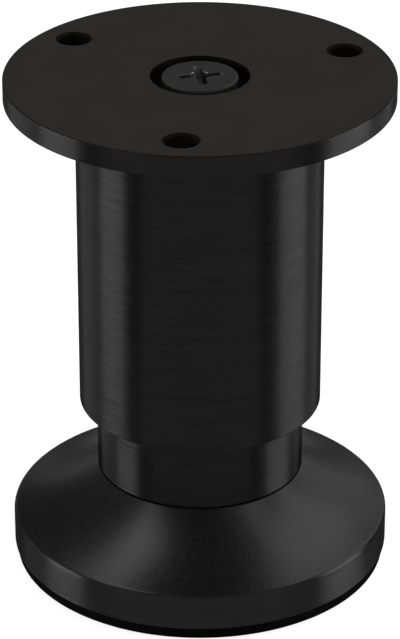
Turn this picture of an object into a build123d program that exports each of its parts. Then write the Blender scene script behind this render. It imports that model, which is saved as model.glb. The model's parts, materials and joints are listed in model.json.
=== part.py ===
from build123d import *
import math
import os

# Adjustable furniture leg: a round mounting plate on a tube, which slides over a sleeve
# that stands on a turned foot. A spindle in the sleeve turns in a threaded bush in the tube,
# so turning the sleeve raises or lowers the plate. The floor is z = 0, and the axis is Z.

# Heights of what shows, from the floor up
pad_thickness = 2.6
rim_height = 7.6
cone_height = 10.4
neck_gap = 0.4
sleeve_reveal = 15.2
tube_length = 68.7
plate_thickness = 4.6
lower_travel = 9.5
upper_travel = 10.5

# Diameters of what shows
plate_diameter = 80.0
tube_diameter = 51.0
sleeve_diameter = 43.6
foot_diameter = 80.0
pad_diameter = 78.8

# Mounting plate
hole_count = 3
hole_edge_distance = 7.5
hole_turn = 23.6
hole_diameter = 6.6
hole_rim_bevel = 0.5
countersink_diameter = 11.0
countersink_angle = 90
recess_diameter = 20.3
recess_depth = 3.0
plate_bevel = 0.3

# Plate screw, its lock washer and its cross recess
m8_diameter = 8.0
m8_clearance = 0.4
plate_screw_head_diameter = 15.6
plate_screw_head_height = 2.2
plate_screw_bevel = 0.35
plate_screw_length = 14.2
cross_turn = 11.5
cross_span = 9.4
cross_arm_width = 2.0
cross_depth = 4.2
cross_tip_diameter = 1.6
lock_washer_diameter = 14.8
lock_washer_teeth = 12
lock_washer_tooth_length = 1.7

# Tube, its cap and the cap's nut
tube_wall = 1.6
tube_bevel = 0.3
cap_wall = 2.0
cap_depth = 10.0
cap_bend_radius = 1.6
cap_nut_across_flats = 13.0
cap_nut_height = 6.5

# Threaded bush
thread_diameter = 16.0
thread_clearance = 0.05
bush_flange_thickness = 5.0
bush_stem_diameter = 28.0
bush_rib_count = 6
bush_rib_thickness = 2.4
bush_rib_height = 9.0
bush_rib_reach = 5.5
stop_bore_diameter = 24.0

# Sleeve, its base and the rings that guide it
sleeve_wall = 1.5
sleeve_bevel = 0.25
base_plug_thickness = 7.0
glide_lip = 1.0
glide_skirt = 6.8
guide_ring_length = 12.0
guide_lead_in = 0.8
running_clearance = 0.05
end_gap = 1.4
glide_headroom = 5.5

# Spindle, its lock nut and its stop ring
spindle_headroom = 5.5
spindle_bevel = 1.2
spindle_bore_spare = 2.0
lock_nut_across_flats = 24.0
lock_nut_height = 8.0
stop_ring_depth = 3.0
stop_ring_thickness = 1.2
stop_ring_groove = 0.6
stop_ring_width = 2.6
stop_ring_mouth = 4.0
stop_ring_ear_radius = 1.7
stop_ring_ear_hole = 0.7
stop_gap = 0.3

# Foot
foot_wall = 3.0
flank_sag = 1.0
shoulder_radius = 1.1
hub_diameter = 26.0
hub_lift = 4.8
foot_rib_count = 6
foot_rib_thickness = 2.4
foot_rib_setback = 2.5

# Pivot between foot and sleeve
bush_wall = 1.5
bush_flange_diameter = 21.0
bush_flange_height = 1.2
thrust_washer_inset = 2.3
thrust_washer_thickness = 1.0
pivot_diameter = 10.0
pivot_play = 0.05
pivot_thread_length = 14.0
pivot_head_diameter = 16.0
pivot_head_height = 3.6
pivot_socket_across_flats = 6.0
pivot_socket_depth = 2.4
pivot_washer_diameter = 20.0
pivot_washer_thickness = 1.0

# Floor pad
pad_opening_diameter = 26.0
pad_collar_height = 3.4
pad_collar_wall = 2.2
pad_collar_clearance = 0.4
pad_bevel = 0.4
pad_groove_count = 3
pad_groove_width = 1.6
pad_groove_depth = 0.8
pad_first_groove_radius = 19.0
pad_groove_step = 6.5

# Radii
plate_radius = plate_diameter / 2
hole_circle_radius = plate_radius - hole_edge_distance
tube_radius = tube_diameter / 2
tube_bore_radius = tube_radius - tube_wall
sleeve_radius = sleeve_diameter / 2
sleeve_bore_radius = sleeve_radius - sleeve_wall
thrust_washer_radius = sleeve_radius - thrust_washer_inset
foot_radius = foot_diameter / 2
m8_radius = m8_diameter / 2
spindle_radius = thread_diameter / 2
bush_bore_radius = spindle_radius + thread_clearance
pivot_radius = pivot_diameter / 2
pivot_bore_radius = pivot_radius + running_clearance
hub_bore_radius = pivot_bore_radius + bush_wall

# Levels of the foot and the sleeve
shoulder_level = pad_thickness + rim_height
foot_top = shoulder_level + cone_height
sleeve_bottom = foot_top + neck_gap
washer_seat = sleeve_bottom - thrust_washer_thickness
base_plug_top = sleeve_bottom + base_plug_thickness
lock_nut_top = base_plug_top + lock_nut_height
hub_bottom = pad_thickness + hub_lift

# Levels of the tube and what is in it
tube_bottom = sleeve_bottom + sleeve_reveal
plate_bottom = tube_bottom + tube_length
plate_top = plate_bottom + plate_thickness
recess_floor = plate_top - recess_depth
lock_washer_thickness = recess_depth - plate_screw_head_height
cap_bottom = plate_bottom - cap_depth
bush_flange_bottom = cap_bottom - bush_flange_thickness
bush_bottom = lock_nut_top + lower_travel + end_gap
glide_top = bush_flange_bottom - lower_travel - glide_headroom
sleeve_top = glide_top - glide_lip
spindle_top = plate_top - plate_screw_length - lower_travel - spindle_headroom
stop_ring_level = spindle_top - stop_ring_depth
bush_shoulder = stop_ring_level - upper_travel - stop_gap

# Levels of the pivot screw
bush_flange_level = hub_bottom - bush_flange_height
pivot_washer_top = bush_flange_level - pivot_play
pivot_head_top = pivot_washer_top - pivot_washer_thickness
pivot_head_bottom = pivot_head_top - pivot_head_height


def turn(*outline, mode=Mode.ADD):
    """Turns a closed outline of (radius, height) points about the leg's axis."""
    with BuildSketch(Plane.XZ) as half_section:
        with BuildLine():
            Polyline(*outline, close=True)
        make_face()
    revolve(half_section.sketch, axis=Axis.Z, mode=mode)


def hexagon_nut(across_flats, height, bore_radius, bottom):
    """A hexagon nut about the leg's axis, with its corners bevelled at both ends."""
    flat_radius = across_flats / 2
    corner_radius = flat_radius / math.cos(math.pi / 6)
    bevel = (corner_radius - flat_radius) * math.tan(math.pi / 6)
    with BuildPart() as nut:
        with BuildSketch(Plane.XY.offset(bottom)):
            RegularPolygon(flat_radius, 6, major_radius=False)
            Circle(bore_radius, mode=Mode.SUBTRACT)
        extrude(amount=height)
        turn(
            (0, bottom),
            (flat_radius, bottom),
            (corner_radius, bottom + bevel),
            (corner_radius, bottom + height - bevel),
            (flat_radius, bottom + height),
            (0, bottom + height),
            mode=Mode.INTERSECT,
        )
    return nut.part


def circles_at(part, radius, level):
    """The part's circular edges of that radius at that height."""
    near = part.edges().filter_by(GeomType.CIRCLE).filter_by_position(Axis.Z, level - 1e-4, level + 1e-4)
    return near.filter_by(lambda edge: abs(edge.radius - radius) < 1e-4)


# Floor pad: a moulded ring with a collar that holds it in the foot, and grooves in its sole
with BuildPart() as floor_pad:
    pad_radius = pad_diameter / 2
    opening_radius = pad_opening_diameter / 2
    collar_radius = foot_radius - foot_wall
    turn(
        (opening_radius, 0),
        (pad_radius - pad_bevel, 0),
        (pad_radius, pad_bevel),
        (pad_radius, pad_thickness),
        (collar_radius, pad_thickness),
        (collar_radius, pad_thickness + pad_collar_height),
        (collar_radius - pad_collar_wall, pad_thickness + pad_collar_height),
        (collar_radius - pad_collar_wall, pad_thickness),
        (opening_radius, pad_thickness),
    )
    with BuildSketch(Plane.XY):
        for index in reversed(range(pad_groove_count)):
            groove_radius = pad_first_groove_radius + index * pad_groove_step
            Circle(groove_radius + pad_groove_width / 2)
            Circle(groove_radius - pad_groove_width / 2, mode=Mode.SUBTRACT)
    extrude(amount=pad_groove_depth, mode=Mode.SUBTRACT)

# Foot: a turned cone with a hollow flank, open below, with a hub and ribs inside
with BuildPart() as foot:
    hub_radius = hub_diameter / 2
    cavity_radius = foot_radius - foot_wall
    flank_run = foot_radius - sleeve_radius
    flank_length = math.hypot(flank_run, cone_height)
    flank_middle = (
        (foot_radius + sleeve_radius) / 2 - flank_sag * cone_height / flank_length,
        (foot_top + shoulder_level) / 2 - flank_sag * flank_run / flank_length,
    )
    flank_slope = cone_height / flank_run
    cavity_top = washer_seat - foot_wall
    cavity_shoulder = cavity_top - flank_slope * (cavity_radius - sleeve_radius)
    with BuildSketch(Plane.XZ) as foot_section:
        with BuildLine():
            Polyline(
                (foot_radius, shoulder_level),
                (foot_radius, pad_thickness),
                (cavity_radius, pad_thickness),
                (cavity_radius, cavity_shoulder),
                (sleeve_radius, cavity_top),
                (hub_radius, cavity_top),
                (hub_radius, hub_bottom),
                (hub_bore_radius, hub_bottom),
                (hub_bore_radius, washer_seat),
                (thrust_washer_radius, washer_seat),
                (thrust_washer_radius, foot_top),
                (sleeve_radius, foot_top),
            )
            ThreePointArc((sleeve_radius, foot_top), flank_middle, (foot_radius, shoulder_level))
        make_face()
    revolve(foot_section.sketch, axis=Axis.Z)
    fillet(circles_at(foot, foot_radius, shoulder_level), radius=shoulder_radius)
    rib_root = (hub_radius + hub_bore_radius) / 2
    rib_end = cavity_radius - pad_collar_wall - pad_collar_clearance
    with BuildSketch(Plane.XZ) as rib_section:
        with BuildLine():
            Polyline(
                (rib_root, hub_bottom + foot_rib_thickness),
                (hub_radius, hub_bottom + foot_rib_thickness),
                (pad_opening_diameter / 2 + foot_rib_setback, pad_thickness),
                (rib_end, pad_thickness),
                (rib_end, pad_thickness + pad_collar_height + pad_collar_clearance),
                (cavity_radius + foot_wall / 2, pad_thickness + pad_collar_height + pad_collar_clearance),
                (cavity_radius + foot_wall / 2, cavity_shoulder),
                (sleeve_radius, cavity_top + foot_wall / 2),
                (rib_root, cavity_top + foot_wall / 2),
                close=True,
            )
        make_face()
    foot_rib = extrude(rib_section.sketch, amount=foot_rib_thickness / 2, both=True, mode=Mode.PRIVATE)
    with PolarLocations(0, foot_rib_count):
        add(foot_rib)

# Pivot bush: a plain bearing pressed into the foot's hub, with its flange below
with BuildPart() as pivot_bush:
    turn(
        (pivot_bore_radius, bush_flange_level),
        (bush_flange_diameter / 2, bush_flange_level),
        (bush_flange_diameter / 2, hub_bottom),
        (hub_bore_radius, hub_bottom),
        (hub_bore_radius, washer_seat),
        (pivot_bore_radius, washer_seat),
    )

# Thrust washer: lies in the foot's top and carries the sleeve's base
with BuildPart() as thrust_washer:
    with BuildSketch(Plane.XY.offset(washer_seat)):
        Circle(thrust_washer_radius)
        Circle(pivot_bore_radius, mode=Mode.SUBTRACT)
    extrude(amount=thrust_washer_thickness)

# Pivot screw: a shoulder screw that holds the foot to the spindle
with BuildPart() as pivot_screw:
    pivot_head_radius = pivot_head_diameter / 2
    turn(
        (0, pivot_head_bottom),
        (pivot_head_radius - plate_screw_bevel, pivot_head_bottom),
        (pivot_head_radius, pivot_head_bottom + plate_screw_bevel),
        (pivot_head_radius, pivot_head_top),
        (pivot_radius, pivot_head_top),
        (pivot_radius, sleeve_bottom),
        (m8_radius, sleeve_bottom),
        (m8_radius, sleeve_bottom + pivot_thread_length - plate_screw_bevel),
        (m8_radius - plate_screw_bevel, sleeve_bottom + pivot_thread_length),
        (0, sleeve_bottom + pivot_thread_length),
    )
    with BuildSketch(Plane.XY.offset(pivot_head_bottom)):
        RegularPolygon(pivot_socket_across_flats / 2, 6, major_radius=False)
    extrude(amount=pivot_socket_depth, mode=Mode.SUBTRACT)

# Pivot washer: between the screw's head and the bush's flange
with BuildPart() as pivot_washer:
    with BuildSketch(Plane.XY.offset(pivot_head_top)):
        Circle(pivot_washer_diameter / 2)
        Circle(pivot_radius, mode=Mode.SUBTRACT)
    extrude(amount=pivot_washer_thickness)

# Sleeve base: a steel plug in the sleeve's lower end, which the spindle screws into
with BuildPart() as sleeve_base:
    with BuildSketch(Plane.XY.offset(sleeve_bottom)):
        Circle(sleeve_bore_radius)
        Circle(spindle_radius, mode=Mode.SUBTRACT)
    extrude(amount=base_plug_thickness)
    chamfer(circles_at(sleeve_base, sleeve_bore_radius, base_plug_top), length=guide_lead_in)

# Adjusting sleeve: the smaller tube, which a hand turns
with BuildPart() as adjusting_sleeve:
    turn(
        (sleeve_bore_radius, sleeve_bottom),
        (sleeve_radius - sleeve_bevel, sleeve_bottom),
        (sleeve_radius, sleeve_bottom + sleeve_bevel),
        (sleeve_radius, sleeve_top),
        (sleeve_bore_radius, sleeve_top),
    )

# Glide ring: clipped over the sleeve's top edge, it runs in the tube's bore
with BuildPart() as glide_ring:
    glide_radius = tube_bore_radius - running_clearance
    turn(
        (sleeve_radius, sleeve_top - glide_skirt),
        (glide_radius - guide_lead_in, sleeve_top - glide_skirt),
        (glide_radius, sleeve_top - glide_skirt + guide_lead_in),
        (glide_radius, glide_top - guide_lead_in),
        (glide_radius - guide_lead_in, glide_top),
        (sleeve_bore_radius, glide_top),
        (sleeve_bore_radius, sleeve_top),
        (sleeve_radius, sleeve_top),
    )

# Spindle: a threaded rod, drilled and tapped below for the pivot screw and grooved above
with BuildPart() as spindle:
    groove_radius = spindle_radius - stop_ring_groove
    spindle_bore_top = sleeve_bottom + pivot_thread_length + spindle_bore_spare
    turn(
        (m8_radius, sleeve_bottom),
        (spindle_radius, sleeve_bottom),
        (spindle_radius, stop_ring_level),
        (groove_radius, stop_ring_level),
        (groove_radius, stop_ring_level + stop_ring_thickness),
        (spindle_radius, stop_ring_level + stop_ring_thickness),
        (spindle_radius, spindle_top - spindle_bevel),
        (spindle_radius - spindle_bevel, spindle_top),
        (0, spindle_top),
        (0, spindle_bore_top),
        (m8_radius, spindle_bore_top),
    )

# Lock nut: holds the spindle in the sleeve's base
lock_nut = hexagon_nut(lock_nut_across_flats, lock_nut_height, spindle_radius, base_plug_top)

# Stop ring: an open spring ring in the spindle's groove, which ends the upward travel
with BuildPart() as stop_ring:
    ring_inner = spindle_radius - stop_ring_groove
    ring_outer = ring_inner + stop_ring_width
    ear_radius = (ring_inner + ring_outer) / 2
    ear_turn = math.degrees((stop_ring_mouth / 2 + stop_ring_ear_radius) / ear_radius)
    with BuildSketch(Plane.XY.offset(stop_ring_level)):
        Circle(ring_outer)
        with Locations((ring_outer, 0)):
            Rectangle(2 * ring_outer, stop_ring_mouth, mode=Mode.SUBTRACT)
        with PolarLocations(ring_outer, 2, start_angle=-ear_turn, angular_range=4 * ear_turn):
            Circle(stop_ring_ear_radius)
        Circle(ring_inner, mode=Mode.SUBTRACT)
        with PolarLocations(ring_outer, 2, start_angle=-ear_turn, angular_range=4 * ear_turn):
            Circle(stop_ring_ear_hole, mode=Mode.SUBTRACT)
    extrude(amount=stop_ring_thickness)

# Threaded bush: hangs from the cap on its flange, with ribs down its stem
with BuildPart() as threaded_bush:
    stem_radius = bush_stem_diameter / 2
    stop_bore_radius = stop_bore_diameter / 2
    turn(
        (bush_bore_radius, bush_bottom),
        (stem_radius, bush_bottom),
        (stem_radius, bush_flange_bottom),
        (tube_bore_radius, bush_flange_bottom),
        (tube_bore_radius, cap_bottom),
        (stop_bore_radius, cap_bottom),
        (stop_bore_radius, bush_shoulder),
        (bush_bore_radius, bush_shoulder),
    )
    rib_root = (stem_radius + stop_bore_radius) / 2
    with BuildSketch(Plane.XZ) as bush_rib_section:
        with BuildLine():
            Polyline(
                (rib_root, bush_flange_bottom - bush_rib_height),
                (stem_radius, bush_flange_bottom - bush_rib_height),
                (stem_radius + bush_rib_reach, bush_flange_bottom),
                (stem_radius + bush_rib_reach, bush_flange_bottom + bush_flange_thickness / 2),
                (rib_root, bush_flange_bottom + bush_flange_thickness / 2),
                close=True,
            )
        make_face()
    bush_rib = extrude(bush_rib_section.sketch, amount=bush_rib_thickness / 2, both=True, mode=Mode.PRIVATE)
    with PolarLocations(0, bush_rib_count):
        add(bush_rib)

# Outer tube
with BuildPart() as outer_tube:
    turn(
        (tube_bore_radius, tube_bottom),
        (tube_radius - tube_bevel, tube_bottom),
        (tube_radius, tube_bottom + tube_bevel),
        (tube_radius, plate_bottom),
        (tube_bore_radius, plate_bottom),
    )

# Guide ring: lines the tube's lower end, and the sleeve runs through it
with BuildPart() as guide_ring:
    guide_bore_radius = sleeve_radius + running_clearance
    turn(
        (guide_bore_radius + guide_lead_in, tube_bottom),
        (tube_bore_radius, tube_bottom),
        (tube_bore_radius, tube_bottom + guide_ring_length),
        (guide_bore_radius + guide_lead_in, tube_bottom + guide_ring_length),
        (guide_bore_radius, tube_bottom + guide_ring_length - guide_lead_in),
        (guide_bore_radius, tube_bottom + guide_lead_in),
    )

# Tube cap: a drawn cup pressed into the tube's top end, with its rim down
with BuildPart() as tube_cap:
    with BuildSketch(Plane.XZ) as cap_section:
        with BuildLine():
            Polyline(
                (m8_radius + m8_clearance, plate_bottom),
                (tube_bore_radius, plate_bottom),
                (tube_bore_radius, cap_bottom),
                (tube_bore_radius - cap_wall, cap_bottom),
                (tube_bore_radius - cap_wall, plate_bottom - cap_wall),
                (m8_radius + m8_clearance, plate_bottom - cap_wall),
                close=True,
            )
        make_face()
    revolve(cap_section.sketch, axis=Axis.Z)
    fillet(circles_at(tube_cap, tube_bore_radius, plate_bottom), radius=cap_bend_radius)

# Cap nut: fixed under the tube's cap, for the plate's screw
cap_nut = hexagon_nut(cap_nut_across_flats, cap_nut_height, m8_radius, plate_bottom - cap_wall - cap_nut_height)

# Mounting plate: three countersunk holes from below, and a recess for the screw's head
with BuildPart() as mounting_plate:
    with BuildSketch(Plane.XY.offset(plate_bottom)):
        Circle(plate_radius)
    extrude(amount=plate_thickness)
    chamfer(circles_at(mounting_plate, plate_radius, plate_top), length=plate_bevel)
    chamfer(circles_at(mounting_plate, plate_radius, plate_bottom), length=plate_bevel)
    with Locations((0, 0, plate_top)):
        CounterBoreHole(m8_radius + m8_clearance, recess_diameter / 2, recess_depth)
    underside = Plane(origin=(0, 0, plate_bottom), x_dir=(1, 0, 0), z_dir=(0, 0, -1))
    with Locations(underside):
        with PolarLocations(hole_circle_radius, hole_count, start_angle=-hole_turn):
            CounterSinkHole(hole_diameter / 2, countersink_diameter / 2, counter_sink_angle=countersink_angle)
    chamfer(circles_at(mounting_plate, hole_diameter / 2, plate_top), length=hole_rim_bevel)

# Lock washer: its teeth grip the screw's head and the recess's floor
with BuildPart() as lock_washer:
    tooth_root = lock_washer_diameter / 2 - lock_washer_tooth_length
    tooth_gap = math.pi * lock_washer_diameter / lock_washer_teeth / 2
    with BuildSketch(Plane.XY.offset(recess_floor)):
        Circle(lock_washer_diameter / 2)
        Circle(m8_radius, mode=Mode.SUBTRACT)
        with PolarLocations(tooth_root + lock_washer_tooth_length, lock_washer_teeth):
            Rectangle(2 * lock_washer_tooth_length, tooth_gap, mode=Mode.SUBTRACT)
    extrude(amount=lock_washer_thickness)

# Cross recess: four arms, cut to a cone by the driver's tip
with BuildPart() as cross_recess:
    with BuildSketch(Plane.XY.offset(plate_top)):
        for arm_turn in (cross_turn, cross_turn + 90):
            Rectangle(cross_span, cross_arm_width, rotation=arm_turn)
        Circle(cross_arm_width)
    extrude(amount=-cross_depth)
    turn(
        (0, plate_top - cross_depth),
        (cross_tip_diameter / 2, plate_top - cross_depth),
        (cross_span / 2, plate_top),
        (0, plate_top),
        mode=Mode.INTERSECT,
    )

# Plate screw: a flat head flush with the plate, held by the cap's nut
with BuildPart() as plate_screw:
    screw_head_radius = plate_screw_head_diameter / 2
    screw_end = plate_top - plate_screw_length
    turn(
        (0, screw_end),
        (m8_radius - plate_screw_bevel, screw_end),
        (m8_radius, screw_end + plate_screw_bevel),
        (m8_radius, plate_top - plate_screw_head_height),
        (screw_head_radius, plate_top - plate_screw_head_height),
        (screw_head_radius, plate_top - plate_screw_bevel),
        (screw_head_radius - plate_screw_bevel, plate_top),
        (0, plate_top),
    )
    add(cross_recess.part, mode=Mode.SUBTRACT)

# Each piece is written under its own name
pieces = {
    "floor_pad": floor_pad.part,
    "foot": foot.part,
    "pivot_bush": pivot_bush.part,
    "thrust_washer": thrust_washer.part,
    "pivot_screw": pivot_screw.part,
    "pivot_washer": pivot_washer.part,
    "sleeve_base": sleeve_base.part,
    "adjusting_sleeve": adjusting_sleeve.part,
    "glide_ring": glide_ring.part,
    "spindle": spindle.part,
    "lock_nut": lock_nut,
    "stop_ring": stop_ring.part,
    "threaded_bush": threaded_bush.part,
    "outer_tube": outer_tube.part,
    "guide_ring": guide_ring.part,
    "tube_cap": tube_cap.part,
    "cap_nut": cap_nut,
    "mounting_plate": mounting_plate.part,
    "lock_washer": lock_washer.part,
    "plate_screw": plate_screw.part,
}
os.makedirs("parts", exist_ok=True)
for name, piece in pieces.items():
    piece.label = name
    export_step(piece, f"parts/{name}.step")
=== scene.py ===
import json
import math

import bmesh
import bpy
import numpy as np
from bpy.props import FloatProperty, FloatVectorProperty, IntProperty, PointerProperty
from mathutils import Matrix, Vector


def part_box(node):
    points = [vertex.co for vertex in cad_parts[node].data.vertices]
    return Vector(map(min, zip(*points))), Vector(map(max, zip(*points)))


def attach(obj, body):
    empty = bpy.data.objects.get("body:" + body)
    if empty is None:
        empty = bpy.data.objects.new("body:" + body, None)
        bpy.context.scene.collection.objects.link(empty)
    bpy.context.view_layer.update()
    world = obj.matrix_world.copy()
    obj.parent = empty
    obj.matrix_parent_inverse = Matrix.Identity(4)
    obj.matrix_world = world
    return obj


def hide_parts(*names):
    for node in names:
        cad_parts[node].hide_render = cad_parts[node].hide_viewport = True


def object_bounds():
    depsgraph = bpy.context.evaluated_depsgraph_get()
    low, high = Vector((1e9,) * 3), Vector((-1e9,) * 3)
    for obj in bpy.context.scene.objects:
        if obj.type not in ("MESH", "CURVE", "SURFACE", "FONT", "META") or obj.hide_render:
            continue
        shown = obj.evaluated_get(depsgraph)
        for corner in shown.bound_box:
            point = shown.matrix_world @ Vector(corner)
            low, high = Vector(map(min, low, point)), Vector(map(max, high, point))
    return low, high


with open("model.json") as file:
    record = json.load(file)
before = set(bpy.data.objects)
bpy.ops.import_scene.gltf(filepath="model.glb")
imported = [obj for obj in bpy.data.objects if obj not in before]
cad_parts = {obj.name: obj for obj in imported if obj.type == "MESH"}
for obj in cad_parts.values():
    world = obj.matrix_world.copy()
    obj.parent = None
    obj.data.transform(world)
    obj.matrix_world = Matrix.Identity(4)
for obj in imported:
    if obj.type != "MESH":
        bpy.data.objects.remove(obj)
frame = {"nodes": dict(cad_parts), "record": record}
cad_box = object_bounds()

bl_info = {
    "name": "Adjustable furniture leg",
    "version": (1, 0, 0),
    "blender": (4, 5, 0),
    "location": "View3D > Sidebar > Furniture leg",
    "description": "Builds the surfaces and finishes of a round furniture leg round its packed model",
    "category": "Add Mesh",
}

MM = 0.001
FULL_TURN = 2 * math.pi
COLUMNS = 240
FINE_COLUMNS = 96
SHARP_ANGLE = math.radians(35)
MERGE_DISTANCE = 1e-6
UPRIGHT = math.sin(math.radians(50))

# Small enough to change no shape, and they keep a division by nothing away
TINY_ANGLE = 1e-6
TINY_LENGTH = 1e-9

# Threads: their pitches, then the depth and half of a crest's flat as shares of a pitch, and a flank's lean
PITCH_M16 = 2.0 * MM
PITCH_M8 = 1.25 * MM
THREAD_DEPTH = 0.6134
CREST_HALF = 1 / 16
FLANK_LEAN = math.radians(30)


def linear(hex_colour):
    """The linear colour of an sRGB hex value."""
    srgb = np.array([int(hex_colour[place:place + 2], 16) for place in (1, 3, 5)]) / 255
    return tuple(float(v) for v in np.where(srgb <= 0.04045, srgb / 12.92, ((srgb + 0.055) / 1.055) ** 2.4))


def measure(name, description, millimetres):
    """A length that a user can change, given in millimetres and kept in metres."""
    return FloatProperty(name=name, description=description, default=millimetres * MM, min=0.0, precision=5,
                         subtype="DISTANCE", unit="LENGTH")


def colour_property(name, description, hex_colour):
    """A colour that a user can change, given as sRGB hex."""
    return FloatVectorProperty(name=name, description=description, default=linear(hex_colour), min=0.0, max=1.0,
                               size=3, subtype="COLOR")


# Sizes and colours that a user would change

class LegPlateSizes(bpy.types.PropertyGroup):
    """Sizes of the mounting plate's holes, recess and edges."""
    hole_diameter: measure("Hole", "Diameter of the three fixing holes", 6.6)
    hole_edge_distance: measure("Hole to edge", "From a hole's centre to the plate's edge", 7.5)
    hole_bevel: measure("Hole bevel", "Width of the bevel round a hole's upper rim", 0.5)
    hole_turn: FloatProperty(name="Hole turn", description="Turn of the first hole from the X axis",
                             default=math.radians(23.6), subtype="ANGLE", unit="ROTATION")
    countersink_diameter: measure("Countersink", "Diameter of a hole's countersink at the underside", 11.0)
    recess_diameter: measure("Recess", "Diameter of the recess for the screw's head", 20.3)
    recess_depth: measure("Recess depth", "Depth of the recess", 3.0)
    screw_hole_diameter: measure("Screw hole", "Diameter of the hole for the plate's screw", 8.8)
    edge_rounding: measure("Edge rounding", "Radius at the plate's outer edges", 0.28)


class LegScrewSizes(bpy.types.PropertyGroup):
    """Sizes of the plate's screw."""
    shank_diameter: measure("Thread", "Outer diameter of the thread", 8.0)
    head_height: measure("Head height", "Height of the flat head", 2.2)
    head_rounding: measure("Head rounding", "Radius at the head's upper edge", 0.5)
    cross_span: measure("Cross span", "Length of the cross recess's arms, tip to tip", 9.4)
    cross_arm_width: measure("Cross arm", "Width of the cross recess's arms", 2.0)
    cross_depth: measure("Cross depth", "Depth of the cross recess", 4.2)
    cross_tip_diameter: measure("Cross tip", "Diameter of the flat at the recess's bottom", 1.6)
    cross_rib_height: measure("Cross rib", "Height of the ribs on the arms' sides", 0.16)
    cross_rib_spacing: measure("Cross rib spacing", "From one rib to the next", 0.8)
    cross_turn: FloatProperty(name="Cross turn", description="Turn of the cross recess", default=math.radians(11.5),
                              subtype="ANGLE", unit="ROTATION")


class LegTubeSizes(bpy.types.PropertyGroup):
    """Sizes of the tube and the sleeve."""
    tube_wall: measure("Tube wall", "Wall of the outer tube", 1.6)
    sleeve_wall: measure("Sleeve wall", "Wall of the adjusting sleeve", 1.5)
    end_rounding: measure("End rounding", "Radius at the tubes' lower outer edges", 0.28)
    ring_clearance: measure("Ring clearance", "Play between the guide ring and the sleeve", 0.05)
    ring_rounding: measure("Ring rounding", "Lead-in radius of the two plastic rings", 0.7)


class LegFootSizes(bpy.types.PropertyGroup):
    """Sizes of the foot and the floor pad."""
    rim_height: measure("Rim height", "Height of the foot's upright rim", 7.6)
    flank_sag: measure("Flank sag", "How far the flank dips below a straight cone", 1.0)
    shoulder_rounding: measure("Shoulder rounding", "Radius between rim and flank", 1.1)
    edge_rounding: measure("Edge rounding", "Radius at the rim's lower edge", 0.3)
    wall: measure("Wall", "Wall of the hollow foot", 3.0)
    hub_diameter: measure("Hub", "Diameter of the hub inside the foot", 26.0)
    hub_bore: measure("Hub bore", "Diameter of the hub's bore, which holds the pivot's bush", 13.1)
    hub_lift: measure("Hub lift", "Height of the hub's end above the floor pad", 4.8)
    rib_thickness: measure("Rib", "Thickness of the ribs inside the foot", 2.4)
    rib_setback: measure("Rib setback", "From the pad's opening to a rib's lower corner", 2.5)
    rib_count: IntProperty(name="Ribs", description="Number of ribs inside the foot", default=6, min=2)
    collar_wall: measure("Pad collar", "Wall of the floor pad's collar", 2.2)
    collar_clearance: measure("Collar clearance", "Play between ribs and collar", 0.4)
    pad_thickness: measure("Pad", "Thickness of the floor pad", 2.6)
    pad_opening: measure("Pad opening", "Diameter of the floor pad's opening", 26.0)
    groove_width: measure("Groove width", "Width of the grooves in the sole", 1.6)
    groove_depth: measure("Groove depth", "Depth of the grooves in the sole", 0.8)
    first_groove: measure("First groove", "Radius of the inmost groove", 19.0)
    groove_step: measure("Groove step", "From one groove to the next", 6.5)
    groove_count: IntProperty(name="Grooves", description="Number of grooves in the sole", default=3, min=1)


class LegSpindleSizes(bpy.types.PropertyGroup):
    """Sizes of the spindle and the pivot."""
    end_bevel: measure("End bevel", "Bevel at the spindle's upper end", 1.2)
    ring_groove: measure("Ring groove", "Depth of the groove for the stop ring", 0.6)
    bore_depth: measure("Bore depth", "Depth of the tapped bore in the spindle's lower end", 16.0)
    pivot_thread: measure("Pivot thread", "Outer diameter of the pivot screw's thread", 8.0)
    pivot_diameter: measure("Pivot", "Diameter of the pivot screw's shoulder", 10.0)
    pivot_play: measure("Pivot play", "Play between the pivot and its bush", 0.05)
    bush_wall: measure("Bush wall", "Wall of the pivot's bush", 1.5)
    bush_flange: measure("Bush flange", "Thickness of the flange of the pivot's bush", 1.2)
    pivot_head_height: measure("Pivot head", "Height of the pivot screw's head", 3.6)
    socket_across_flats: measure("Socket", "Across the flats of the pivot screw's socket", 6.0)
    socket_depth: measure("Socket depth", "Depth of the pivot screw's socket", 2.4)


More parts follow.
